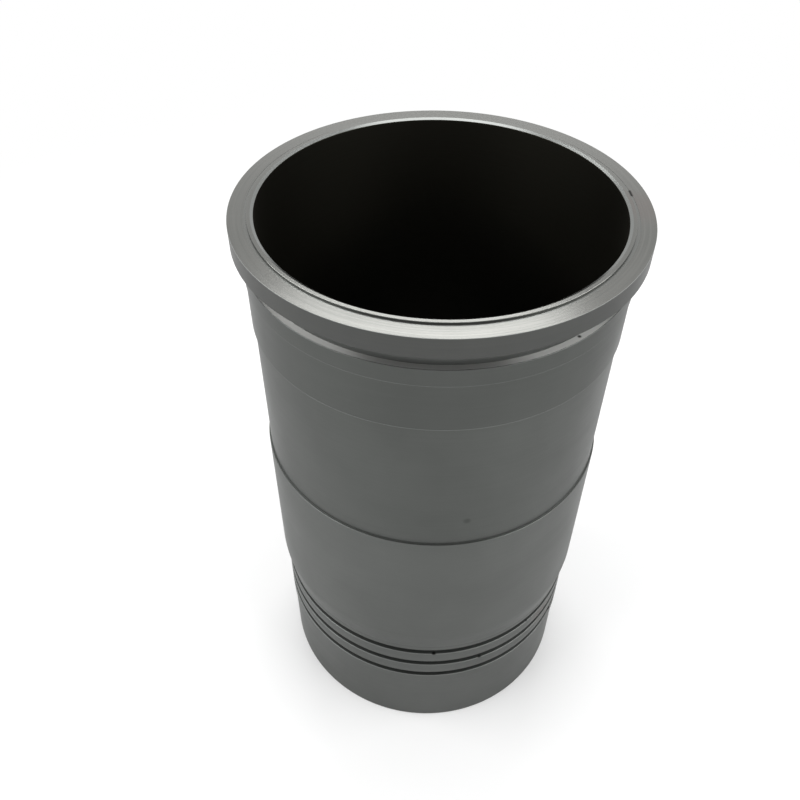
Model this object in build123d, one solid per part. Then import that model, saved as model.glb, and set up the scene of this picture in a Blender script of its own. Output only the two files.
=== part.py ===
from build123d import *
import os

# Wet cylinder liner of a heavy diesel engine: one iron casting, turned and ground all over.
# It stands on its lower end. Z is the bore axis, and the origin is the centre of the lower end.
# All sizes are in millimetres. Radii grow outward from the bore, and heights grow up from the foot,
# so a change of any one size carries everything that lies beyond it.

# Bore and the wall under the seal grooves
bore_diameter = 150.0
groove_floor_wall = 2.1      # iron left between the bore and the floor of a seal groove
groove_depth = 2.45

# Radial steps of the outside, from the seal land outward
skirt_relief = 0.55          # the skirt is this much smaller than the seal land
lead_in_rise = 1.6           # from the seal land up to the lower body
belt_step = 0.9              # the upper body is this much smaller than the lower body
guide_band_step = 0.95       # from the upper body out to the guide band
pilot_step = 0.35            # from the guide band out to the pilot
undercut_depth = 3.15        # from the pilot in to the neck under the flange
flange_overhang = 3.95       # from the pilot out to the rim of the flange

# Lengths along the axis, from the foot up
skirt_length = 39.5
bottom_land_width = 6.6      # plain land below the lowest groove
seal_groove_count = 3
seal_groove_width = 3.1
shoulder_height = 3.5        # the land above each groove falls off towards it, to ease its seal in
shoulder_depth = 0.35
land_width = 4.7             # plain land between two grooves
top_land_width = 0.5         # plain land above the uppermost shoulder
lead_in_length = 9.8
lower_body_length = 78.7
upper_body_length = 71.8
guide_band_length = 22.5
pilot_length = 7.3
undercut_width = 8.1
flange_height = 10.0

# Raised fire lip round the bore on top of the flange
lip_height = 0.8
lip_width = 1.65
lip_relief_width = 1.2       # shallow turned relief at the foot of the lip
lip_relief_depth = 0.08
bore_mouth_run = 1.3         # radial width of the chamfer at the mouth of the bore
bore_mouth_drop = 0.75       # height of the same chamfer

# Broken edges and relieved corners
foot_chamfer = 0.8
bore_foot_chamfer = 1.0
flange_rim_break = 0.15
flange_lower_chamfer = 1.3
lip_break = 0.15
edge_break = 0.3
undercut_chamfer = 0.8
groove_floor_chamfer = 0.5

# Radii
bore_radius = bore_diameter / 2
groove_floor = bore_radius + groove_floor_wall
seal_land = groove_floor + groove_depth
skirt = seal_land - skirt_relief
lower_body = seal_land + lead_in_rise
upper_body = lower_body - belt_step
guide_band = upper_body + guide_band_step
pilot = guide_band + pilot_step
neck = pilot - undercut_depth
flange = pilot + flange_overhang
lip_inner = bore_radius + bore_mouth_run
lip_outer = lip_inner + lip_width
lip_relief_outer = lip_outer + lip_relief_width

# Heights
land_foot = skirt_length
lowest_groove = land_foot + bottom_land_width
groove_pitch = seal_groove_width + shoulder_height + land_width
top_shoulder = lowest_groove + seal_groove_count * groove_pitch - land_width
lead_in_foot = top_shoulder + top_land_width
lead_in_top = lead_in_foot + lead_in_length
belt_height = lead_in_top + lower_body_length
guide_band_foot = belt_height + upper_body_length
pilot_foot = guide_band_foot + guide_band_length
ledge_height = pilot_foot + pilot_length
seat_height = ledge_height + undercut_width
face_height = seat_height + flange_height
lip_top = face_height + lip_height
relief_floor = face_height - lip_relief_depth

# The section with sharp corners: up the outside, over the lip and back down the bore
section = make_face(
    Polyline(
        (bore_radius, 0, 0),
        (skirt, 0, 0),
        (skirt, 0, land_foot),
        (seal_land, 0, land_foot),
        (seal_land, 0, lead_in_foot),
        (lower_body, 0, lead_in_top),
        (lower_body, 0, belt_height),
        (upper_body, 0, belt_height),
        (upper_body, 0, guide_band_foot),
        (guide_band, 0, guide_band_foot),
        (guide_band, 0, pilot_foot),
        (pilot, 0, pilot_foot),
        (pilot, 0, ledge_height),
        (neck, 0, ledge_height),
        (neck, 0, seat_height),
        (flange, 0, seat_height),
        (flange, 0, face_height),
        (lip_relief_outer, 0, face_height),
        (lip_relief_outer, 0, relief_floor),
        (lip_outer, 0, relief_floor),
        (lip_outer, 0, lip_top),
        (lip_inner, 0, lip_top),
        (bore_radius, 0, lip_top - bore_mouth_drop),
        close=True,
    )
)

# Seal grooves: the same slot over and over, each with its shoulder above it
shoulder = seal_land - shoulder_depth
clear_of_land = seal_land + groove_depth
grooves = []
for number in range(seal_groove_count):
    foot = lowest_groove + number * groove_pitch
    top = foot + seal_groove_width
    grooves.append((foot, top))
    slot = make_face(
        Polyline(
            (groove_floor, 0, foot),
            (clear_of_land, 0, foot),
            (clear_of_land, 0, top + shoulder_height),
            (seal_land, 0, top + shoulder_height),
            (shoulder, 0, top),
            (groove_floor, 0, top),
            close=True,
        )
    )
    section = section - slot


def corner(radius, height):
    """The corner of the section at this radius and height."""
    return section.vertices().sort_by_distance((radius, 0, height))[0]


def small(size, *room):
    """A chamfer of this size, or less where the walls that carry it are short."""
    return min(size, min(room) / 2)


# Relieved inner corners of the undercut and of the groove floors
neck_relief = small(undercut_chamfer, undercut_width, undercut_depth)
for height in (ledge_height, seat_height):
    section = chamfer(corner(neck, height), neck_relief)
floor_relief = small(groove_floor_chamfer, groove_depth - shoulder_depth, seal_groove_width)
for groove in grooves:
    for height in groove:
        section = chamfer(corner(groove_floor, height), floor_relief)

# Broken outer corners, from the foot up
foot_wall = skirt - bore_radius
breaks = [
    (bore_radius, 0, small(bore_foot_chamfer, foot_wall)),
    (skirt, 0, small(foot_chamfer, foot_wall)),
    (seal_land, land_foot, small(edge_break, skirt_relief)),
    (lower_body, belt_height, small(edge_break, belt_step)),
    (guide_band, guide_band_foot, small(edge_break, guide_band_step)),
    (pilot, pilot_foot, small(edge_break, pilot_step)),
    (pilot, ledge_height, small(edge_break, undercut_depth, pilot_length)),
    (flange, seat_height, small(flange_lower_chamfer, flange_height, flange_overhang)),
    (flange, face_height, small(flange_rim_break, flange_height)),
    (lip_outer, lip_top, small(lip_break, lip_height, lip_width)),
]
rim_break = small(edge_break, groove_depth - shoulder_depth, shoulder_height, land_width)
for foot, top in grooves:
    breaks.append((seal_land, foot, rim_break))
    breaks.append((shoulder, top, rim_break))
for radius, height, size in breaks:
    section = chamfer(corner(radius, height), size)

liner = revolve(section, axis=Axis.Z)
liner.label = "cylinder_liner"

os.makedirs("parts", exist_ok=True)
export_step(liner, "parts/cylinder_liner.step")
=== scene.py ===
from math import radians, tau

import bmesh
import bpy
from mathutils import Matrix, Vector


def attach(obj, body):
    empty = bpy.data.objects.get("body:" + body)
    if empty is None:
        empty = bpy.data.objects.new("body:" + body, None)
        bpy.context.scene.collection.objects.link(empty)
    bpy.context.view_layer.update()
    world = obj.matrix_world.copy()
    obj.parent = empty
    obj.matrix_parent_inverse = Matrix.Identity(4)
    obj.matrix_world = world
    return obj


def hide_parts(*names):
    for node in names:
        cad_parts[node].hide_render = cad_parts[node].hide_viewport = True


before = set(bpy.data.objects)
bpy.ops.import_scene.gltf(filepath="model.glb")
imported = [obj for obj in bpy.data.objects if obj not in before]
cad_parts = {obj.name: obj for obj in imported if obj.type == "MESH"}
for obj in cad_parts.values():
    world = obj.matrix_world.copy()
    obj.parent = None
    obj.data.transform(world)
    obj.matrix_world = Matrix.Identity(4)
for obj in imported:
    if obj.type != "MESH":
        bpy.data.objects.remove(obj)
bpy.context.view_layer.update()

# ---- The liner ----
# A wet cylinder liner: one grey iron casting, turned all over on a lathe and ground on its fits.
# It stands loose on its lower end. Half its section is drawn as corners and spun round the bore's
# axis, and each edge is broken by the width that a file or the tool's nose leaves.
MM = 0.001
MICRON = 0.001 * MM
TURNS = 288

# Radii in millimetres, from the bore outward
BORE = 75.0
LIP_INNER = 76.3
GROOVE_FLOOR = 77.1
LIP_OUTER = 77.8
NECK = 78.4
SKIRT = 79.0
LIP_RELIEF = 79.15
SHOULDER = 79.2
SEAL_LAND = 79.55
UPPER_BODY = 80.25
LOWER_BODY = 81.15
GUIDE_BAND = 81.2
PILOT = 81.55
FLANGE = 85.5

# Heights in millimetres, from the foot up
LAND_FOOT = 39.5
LEAD_IN_FOOT = 75.8
LEAD_IN_TOP = 85.6
BELT = 164.3
GUIDE_BAND_FOOT = 236.1
PILOT_FOOT = 258.6
LEDGE = 266.6
SEAT = 274.0
RELIEF_FLOOR = 283.92
FACE = 284.0
MOUTH = 284.05
LIP_TOP = 284.8
# Each seal groove's foot, its top, and the top of the shallow shoulder above it
GROOVES = ((46.1, 49.2, 52.7), (57.4, 60.5, 64.0), (68.7, 71.8, 75.3))


def srgb(code):
    """A colour written as sRGB hex, turned to the linear values that a shader takes."""
    linear = []
    for at in (1, 3, 5):
        part = int(code[at : at + 2], 16) / 255
        linear.append(part / 12.92 if part <= 0.04045 else ((part + 0.055) / 1.055) ** 2.4)
    return linear + [1.0]


def add(tree, kind, inputs=None, **settings):
    """Adds a node with its settings, and links or sets its inputs."""
    made = tree.nodes.new(kind)
    for name, value in settings.items():
        setattr(made, name, value)
    for socket, value in (inputs or {}).items():
        if isinstance(value, bpy.types.NodeSocket):
            tree.links.new(value, made.inputs[socket])
        else:
            made.inputs[socket].default_value = value
    return made


# How far a noise strays from its middle, and how much that changes the gloss
LOW, HIGH = 0.3, 0.7
DULLER, GLOSSIER = 0.04, 0.03
# How far a ring mark runs before it changes, how wide a cloud is, and a blemish's solid share
STREAK_MM = 70
CLOUD_MM = 35
SOLID_SHARE = 0.3


def turned_iron(
    name,
    colour,
    shade,
    roughness,
    grain,
    mark_mm,
    mark_um,
    edge_tint="#ffffff",
    clouding=0.7,
    blemishes=(),
):
    """Bare iron off the lathe: rings round the axis, cloudy handling marks and single blemishes."""
    material = bpy.data.materials.new(name)
    material.use_nodes = True
    tree = material.node_tree
    tree.nodes.clear()
    place = add(tree, "ShaderNodeTexCoord").outputs["Object"]
    # Rings follow the radius on a flat and the height on a wall. A lathe's feed leaves them 0.1 to
    # 0.2 mm apart, which is too fine to show, so they are drawn 0.6 mm apart or more.
    parts = add(tree, "ShaderNodeSeparateXYZ", {"Vector": place}).outputs
    flat = add(tree, "ShaderNodeCombineXYZ", {"X": parts["X"], "Y": parts["Y"]}).outputs["Vector"]
    radius = add(tree, "ShaderNodeVectorMath", {0: flat}, operation="LENGTH").outputs["Value"]
    across = {0: radius, 1: parts["Z"]}
    across = add(tree, "ShaderNodeMath", across, operation="ADD").outputs["Value"]
    ringed = {"X": parts["X"], "Y": parts["Y"], "Z": across}
    ringed = add(tree, "ShaderNodeCombineXYZ", ringed).outputs["Vector"]
    stretch = (1 / (STREAK_MM * MM), 1 / (STREAK_MM * MM), 1 / (mark_mm * MM))
    ringed = add(tree, "ShaderNodeMapping", {"Vector": ringed, "Scale": stretch}).outputs["Vector"]
    rings = {"Vector": ringed, "Scale": 1.0, "Detail": 2.0, "Roughness": 0.6}
    rings = add(tree, "ShaderNodeTexNoise", rings).outputs["Fac"]
    # Clouds, where hands and oil have dulled the metal
    clouds = {"Vector": place, "Scale": 1 / (CLOUD_MM * MM), "Detail": 3.0, "Roughness": 0.55}
    clouds = add(tree, "ShaderNodeTexNoise", clouds).outputs["Fac"]
    wear = {"Factor": clouding, "A": rings, "B": clouds}
    wear = add(tree, "ShaderNodeMix", wear, data_type="FLOAT").outputs["Result"]
    tone = {"Value": wear, "From Min": LOW, "From Max": HIGH}
    tone = add(tree, "ShaderNodeMapRange", tone).outputs["Result"]
    paint = {"Factor": tone, "A": srgb(shade), "B": srgb(colour)}
    paint = add(tree, "ShaderNodeMix", paint, data_type="RGBA").outputs["Result"]
    for point, radius_mm, strength, stain in blemishes:
        # It is solid in its middle and fades out towards its rim
        gap = {0: place, 1: [part * MM for part in point]}
        gap = add(tree, "ShaderNodeVectorMath", gap, operation="DISTANCE").outputs["Value"]
        rim = radius_mm * MM
        spot = {"Value": gap, "From Min": rim, "From Max": SOLID_SHARE * rim, "To Max": strength}
        spot = add(tree, "ShaderNodeMapRange", spot, interpolation_type="SMOOTHSTEP")
        paint = {"Factor": spot.outputs["Result"], "A": paint, "B": srgb(stain)}
        paint = add(tree, "ShaderNodeMix", paint, data_type="RGBA").outputs["Result"]
    gloss = {"Value": wear, "From Min": LOW, "From Max": HIGH}
    gloss |= {"To Min": roughness + DULLER, "To Max": roughness - GLOSSIER}
    gloss = add(tree, "ShaderNodeMapRange", gloss).outputs["Result"]
    relief = {"Strength": 1.0, "Distance": mark_um * MICRON, "Height": rings}
    relief = add(tree, "ShaderNodeBump", relief).outputs["Normal"]
    # The tangent runs round the axis and the gloss is turned a quarter from it, across the rings
    around = add(tree, "ShaderNodeTangent", direction_type="RADIAL", axis="Z").outputs["Tangent"]
    metal = {
        "Base Color": paint,
        "Metallic": 1.0,
        "Roughness": gloss,
        "Specular Tint": srgb(edge_tint),
        "Anisotropic": grain,
        "Anisotropic Rotation": 0.25,
        "Tangent": around,
        "Normal": relief,
    }
    metal = add(tree, "ShaderNodeBsdfPrincipled", metal).outputs["BSDF"]
    add(tree, "ShaderNodeOutputMaterial", {"Surface": metal})
    return material


# Blemishes: place in millimetres, radius in millimetres, strength and colour
PIT = "#1c1c1b"
BLOOM = "#685c57"
# A nick from a knock, 4 mm long, beside the lip: five small pits in a row
nick = [((77.7 + 0.1 * step, 15.1 - 0.9 * step, FACE), 0.85, 1.0, PIT) for step in range(5)]
warm_film = ((81.0, 3.0, FACE), 16.0, 0.4, "#7b7370")
oil_spot = ((17.1, -78.4, 179.4), 2.2, 0.55, "#3a3c3a")
grit = ((52.5, -59.7, LEDGE), 1.1, 1.0, PIT)
rust_bloom = [((64.1, -47.1, 62.4), 12.0, 0.35, BLOOM), ((70.8, -36.3, 50.0), 10.0, 0.3, BLOOM)]
groove_dirt = [
    ((6.8, -79.0, 69.0), 1.6, 1.0, PIT),
    ((31.2, -73.0, 57.8), 1.5, 0.9, PIT),
    ((71.7, -34.0, 46.6), 1.7, 0.9, PIT),
    ((55.4, -56.7, 69.2), 1.2, 0.8, PIT),
]
land_specks = [((-63.4, -47.6, 50.9), 1.2, 0.9, PIT), ((58.5, -53.6, 73.6), 1.2, 0.9, PIT)]

# The cut of the walls, of a form tool in a groove, and of a file on an edge
wall_cut = {"roughness": 0.38, "grain": 0.5, "mark_mm": 0.9, "mark_um": 0.1, "edge_tint": "#e7e7e7"}
form_cut = {"roughness": 0.45, "grain": 0.5, "mark_mm": 0.8, "mark_um": 0.4}
filed = {"roughness": 0.45, "grain": 0.3, "mark_mm": 0.6, "mark_um": 0.2}
finishes = {
    # Flange face and lip: one fine facing cut, so light draws out into a bright fan to the centre
    "faced": turned_iron(
        "faced_iron",
        "#80807d",
        "#6e6f6c",
        roughness=0.22,
        grain=0.8,
        mark_mm=0.8,
        mark_um=0.1,
        clouding=0.4,
        blemishes=nick + [warm_film],
    ),
    # Relief ring outside the lip: a duller cut with the same rings
    "relief": turned_iron(
        "relief_cut_iron",
        "#7a7b78",
        "#727371",
        roughness=0.27,
        grain=0.8,
        mark_mm=0.8,
        mark_um=0.15,
        blemishes=nick,
    ),
    # Chamfer into the bore: run smooth with a stone, and it flashes on the far side
    "mouth": turned_iron(
        "stoned_mouth_iron",
        "#878987",
        "#7f817f",
        roughness=0.2,
        grain=0.2,
        mark_mm=0.8,
        mark_um=0.1,
    ),
    # Filed edges: bare bright metal in thin lines
    "edge": turned_iron("filed_edge_iron", "#8c8e8c", "#848684", **filed),
    # Groove edges: filed too, then worn, so only a faint light line shows under each groove
    "worn_edge": turned_iron(
        "worn_edge_iron", "#747674", "#6c6e6c", **filed, blemishes=groove_dirt
    ),
    # The walls' colours step darker from the lower body up to the flange: painted shade for the
    # shade under the flange and the darker room in front.
    # Flange side: turned iron with a soft sheen, dull at a glancing look from its oil film. Its
    # dark colour is painted shade for the darker room in front.
    "flange": turned_iron("turned_flange_iron", "#565755", "#505150", **wall_cut),
    # Pilot and guide bands: ground to fit the block and more even, coloured as dark as the flange
    # as painted shade under it
    "pilot": turned_iron("ground_pilot_iron", "#565856", "#525452", **wall_cut),
    # Upper body: turned and faintly clouded, coloured a little lighter than the pilot, still with
    # some painted shade from the flange
    "upper": turned_iron(
        "turned_upper_iron", "#5a5c5a", "#555755", **wall_cut, blemishes=[oil_spot]
    ),
    # Lower body: turned, the lightest of the walls
    "lower": turned_iron("turned_lower_iron", "#606260", "#5c5e5c", **wall_cut),
    # Seal lands and foot: ground, with dark specks and a little rust bloom
    "foot": turned_iron(
        "ground_foot_iron",
        "#5f615f",
        "#5a5c5a",
        **wall_cut,
        blemishes=rust_bloom + land_specks + groove_dirt,
    ),
    # Grooves, steps and inner corners: rough from a form tool and never polished, with groove dirt.
    # Its darker colour is also painted shade, put on steps, chamfers and creases to darken them.
    "groove": turned_iron("grooved_iron_and_painted_crease_shade", "#5b5d5b", "#4f514f", **form_cut, blemishes=groove_dirt),
    # Neck of the undercut: the same tool, a little brighter
    "neck": turned_iron("undercut_neck_iron", "#6d6f6d", "#656765", **form_cut),
    # Ledge of the undercut: strongly ringed, so it lights up only towards the sides. Its colour is
    # painted brighter than the rest of the iron, as painted light that lifts those lamp-lit
    # crescents.
    "ledge": turned_iron(
        "undercut_ledge_iron",
        "#a1a19f",
        "#999997",
        roughness=0.49,
        grain=0.98,
        mark_mm=0.8,
        mark_um=0.2,
        blemishes=[grit],
    ),
    # Bore: honed and oiled, nearly black in its own shade
    "bore": turned_iron(
        "honed_bore_iron",
        "#32312b",
        "#2a2924",
        roughness=0.45,
        grain=0.3,
        mark_mm=0.8,
        mark_um=0.4,
    ),
}
finish_order = list(finishes)

# Corners of the section from the bore's foot outward and up: radius, height, width of the broken
# edge and its strips, the finish of that edge, and the finish of the surface after the corner
# Where the dark groove finish sits on a step, chamfer or inner corner, it is painted shade that
# darkens that crease.
corners = [
    (BORE, 0.0, 1.0, 1, "foot", "foot"),
    (SKIRT, 0.0, 0.8, 2, "foot", "foot"),
    (SKIRT, LAND_FOOT, 0.0, 0, "foot", "foot"),
    # The broken edge of this step takes the dark groove finish: a thin painted shade line at the
    # step.
    (SEAL_LAND, LAND_FOOT, 0.27, 2, "groove", "foot"),
]
for foot, top, shoulder in GROOVES:
    corners += [
        (SEAL_LAND, foot, 0.3, 3, "worn_edge", "groove"),
        (GROOVE_FLOOR, foot, 0.5, 2, "groove", "groove"),
        (GROOVE_FLOOR, top, 0.5, 2, "groove", "groove"),
        (SHOULDER, top, 0.3, 3, "groove", "foot"),
        (SEAL_LAND, shoulder, 0.8, 2, "foot", "foot"),
    ]
corners += [
    (SEAL_LAND, LEAD_IN_FOOT, 0.2, 2, "foot", "lower"),
    (LOWER_BODY, LEAD_IN_TOP, 2.0, 3, "lower", "lower"),
    (LOWER_BODY, BELT, 0.3, 3, "lower", "groove"),
    (UPPER_BODY, BELT, 0.15, 2, "groove", "upper"),
    (UPPER_BODY, GUIDE_BAND_FOOT, 0.15, 2, "upper", "upper"),
    (GUIDE_BAND, GUIDE_BAND_FOOT, 0.3, 3, "edge", "pilot"),
    (GUIDE_BAND, PILOT_FOOT, 0.0, 0, "pilot", "pilot"),
    (PILOT, PILOT_FOOT, 0.17, 2, "edge", "pilot"),
    (PILOT, LEDGE, 0.3, 3, "pilot", "ledge"),
    # The inner corner under the flange takes the dark groove finish as painted shade in the crease.
    (NECK, LEDGE, 0.2, 2, "groove", "neck"),
    (NECK, SEAT, 0.8, 3, "neck", "groove"),
    (FLANGE, SEAT, 1.3, 1, "groove", "flange"),
    (FLANGE, FACE, 0.15, 2, "edge", "faced"),
    (LIP_RELIEF, FACE, 0.0, 0, "faced", "faced"),
    (LIP_RELIEF, RELIEF_FLOOR, 0.0, 0, "faced", "relief"),
    (LIP_OUTER, RELIEF_FLOOR, 0.0, 0, "faced", "groove"),
    (LIP_OUTER, LIP_TOP, 0.15, 3, "faced", "faced"),
    (LIP_INNER, LIP_TOP, 0.0, 0, "mouth", "mouth"),
    (BORE, MOUTH, 0.15, 2, "bore", "bore"),
]

shell = bmesh.new()
outline = [shell.verts.new((corner[0] * MM, 0.0, corner[1] * MM)) for corner in corners]
for start, end in zip(outline, outline[1:] + outline[:1]):
    shell.edges.new((start, end))
bmesh.ops.spin(
    shell,
    geom=shell.verts[:] + shell.edges[:],
    cent=(0.0, 0.0, 0.0),
    axis=(0.0, 0.0, 1.0),
    angle=tau,
    steps=TURNS,
    use_merge=True,
)
bmesh.ops.recalc_face_normals(shell, faces=shell.faces)


def ring_of(point):
    """The radius and height of a point, in millimetres, to the nearest hundredth."""
    return round(point.xy.length / MM, 2), round(point.z / MM, 2)


surface_after = {}
for corner, after in zip(corners, corners[1:] + corners[:1]):
    surface_after[frozenset((corner[:2], after[:2]))] = finish_order.index(corner[5])
for face in shell.faces:
    face.material_index = surface_after[frozenset(ring_of(vertex.co) for vertex in face.verts)]

for radius, height, width, strips, edge_finish, _ in corners:
    if strips:
        on_ring = {vertex for vertex in shell.verts if ring_of(vertex.co) == (radius, height)}
        broken = bmesh.ops.bevel(
            shell,
            geom=[edge for edge in shell.edges if on_ring.issuperset(edge.verts)],
            offset=width * MM,
            offset_type="OFFSET",
            segments=strips,
            profile=0.5,
            affect="EDGES",
            material=-1,
            clamp_overlap=False,
        )
        for face in broken["faces"]:
            face.material_index = finish_order.index(edge_finish)

mesh = bpy.data.meshes.new("turned_liner")
shell.to_mesh(mesh)
shell.free()
for finish in finishes.values():
    mesh.materials.append(finish)
# Walls are smooth round the axis, and every ring between two strips stays crisp
for polygon in mesh.polygons:
    polygon.use_smooth = True
for edge in mesh.edges:
    first, second = (mesh.vertices[number].co for number in edge.vertices)
    rise = abs(first.z - second.z)
    reach = abs(first.xy.length - second.xy.length)
    edge.use_edge_sharp = max(rise, reach) < 0.001 * MM
liner = bpy.data.objects.new("turned_liner", mesh)
bpy.context.scene.collection.objects.link(liner)

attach(liner, "root")
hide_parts("cylinder_liner")

# ---- The floor ----
# A wide sheet of white studio paper, matt and laid flat under the foot.
# It keeps the liner's soft shadow near it and runs out to plain white.
PAPER_HALF = 4.0
FADE_START = 0.3
FADE_END = 0.75
PAPER_LIFT = 0.12

sheet = bmesh.new()
bmesh.ops.create_grid(sheet, x_segments=1, y_segments=1, size=PAPER_HALF)
floor_mesh = bpy.data.meshes.new("floor")
sheet.to_mesh(floor_mesh)
sheet.free()
floor = bpy.data.objects.new("floor", floor_mesh)
bpy.context.scene.collection.objects.link(floor)


def seen_rays(tree):
    """1 for a ray from the camera or off gloss or glass, which sees the white background."""
    ray = add(tree, "ShaderNodeLightPath").outputs
    seen = {0: ray["Is Camera Ray"], 1: ray["Is Glossy Ray"]}
    seen = add(tree, "ShaderNodeMath", seen, operation="MAXIMUM").outputs["Value"]
    seen = {0: seen, 1: ray["Is Transmission Ray"]}
    return add(tree, "ShaderNodeMath", seen, operation="MAXIMUM").outputs["Value"]


# Matt paper, lit by the lamps, with a small lift; far out only the white background is left
paper = bpy.data.materials.new("matt_white_paper")
paper.use_nodes = True
tree = paper.node_tree
tree.nodes.clear()
seen = seen_rays(tree)
lift = add(tree, "ShaderNodeMath", {0: seen, 1: PAPER_LIFT}, operation="MULTIPLY").outputs["Value"]
matt = add(tree, "ShaderNodeBsdfDiffuse", {"Color": srgb("#e6e6e6")}).outputs["BSDF"]
glow = {"Color": srgb("#ffffff"), "Strength": lift}
glow = add(tree, "ShaderNodeEmission", glow).outputs["Emission"]
near = add(tree, "ShaderNodeAddShader", {0: matt, 1: glow}).outputs["Shader"]
far = {"Color": srgb("#ffffff"), "Strength": seen}
far = add(tree, "ShaderNodeEmission", far).outputs["Emission"]
place = add(tree, "ShaderNodeTexCoord").outputs["Object"]
reach = add(tree, "ShaderNodeVectorMath", {0: place}, operation="LENGTH").outputs["Value"]
reach = {"Value": reach, "From Min": FADE_START, "From Max": FADE_END}
reach = add(tree, "ShaderNodeMapRange", reach, interpolation_type="SMOOTHSTEP").outputs["Result"]
laid = add(tree, "ShaderNodeMixShader", {0: reach, 1: near, 2: far}).outputs["Shader"]
add(tree, "ShaderNodeOutputMaterial", {"Surface": laid})
floor_mesh.materials.append(paper)

# ---- The light ----
# A white room at a plain level and four soft boxes: behind, overhead, and one low on each side,
# which reach under the flange.
ROOM_LEVEL = 0.5
world = bpy.data.worlds.new("studio")
world.use_nodes = True
bpy.context.scene.world = world
tree = world.node_tree
tree.nodes.clear()
level = {"Value": seen_rays(tree), "To Min": ROOM_LEVEL, "To Max": 1.0}
level = add(tree, "ShaderNodeMapRange", level).outputs["Result"]
sky = {"Color": srgb("#ffffff"), "Strength": level}
sky = add(tree, "ShaderNodeBackground", sky).outputs["Background"]
add(tree, "ShaderNodeOutputWorld", {"Surface": sky})

# Name, place, width and depth in metres, and power in watts; each faces the flange
softboxes = (
    ("rear_softbox", (-0.04, 0.75, 1.25), 0.74, 0.40, 6.2),
    ("top_softbox", (0.0, 0.20, 1.53), 0.90, 0.30, 2.3),
    ("left_softbox", (-0.95, -0.25, 0.81), 1.20, 0.35, 10.0),
    ("right_softbox", (0.95, -0.25, 0.81), 1.20, 0.35, 8.8),
)
for name, place, width, depth, power in softboxes:
    box = bpy.data.lights.new(name, "AREA")
    box.shape = "RECTANGLE"
    box.size = width
    box.size_y = depth
    box.energy = power
    lamp = bpy.data.objects.new(name, box)
    lamp.location = place
    aim = Vector((0.0, 0.0, FACE * MM)) - lamp.location
    lamp.rotation_euler = aim.to_track_quat("-Z", "Y").to_euler()
    bpy.context.scene.collection.objects.link(lamp)

# ---- The camera ----
# It looks down on the near side at about 45 degrees, close enough to see into the mouth.
# Its shift and its depth of field stay off, and colours show as they are written.
camera_data = bpy.data.cameras.new("camera")
camera_data.lens = 36.953
camera = bpy.data.objects.new("camera", camera_data)
camera.location = (0.0, -0.29409, 0.45653)
camera.rotation_euler = (radians(46.0859), radians(-0.2917), radians(3.3620))
bpy.context.scene.collection.objects.link(camera)
bpy.context.scene.camera = camera
bpy.context.scene.view_settings.view_transform = "Standard"
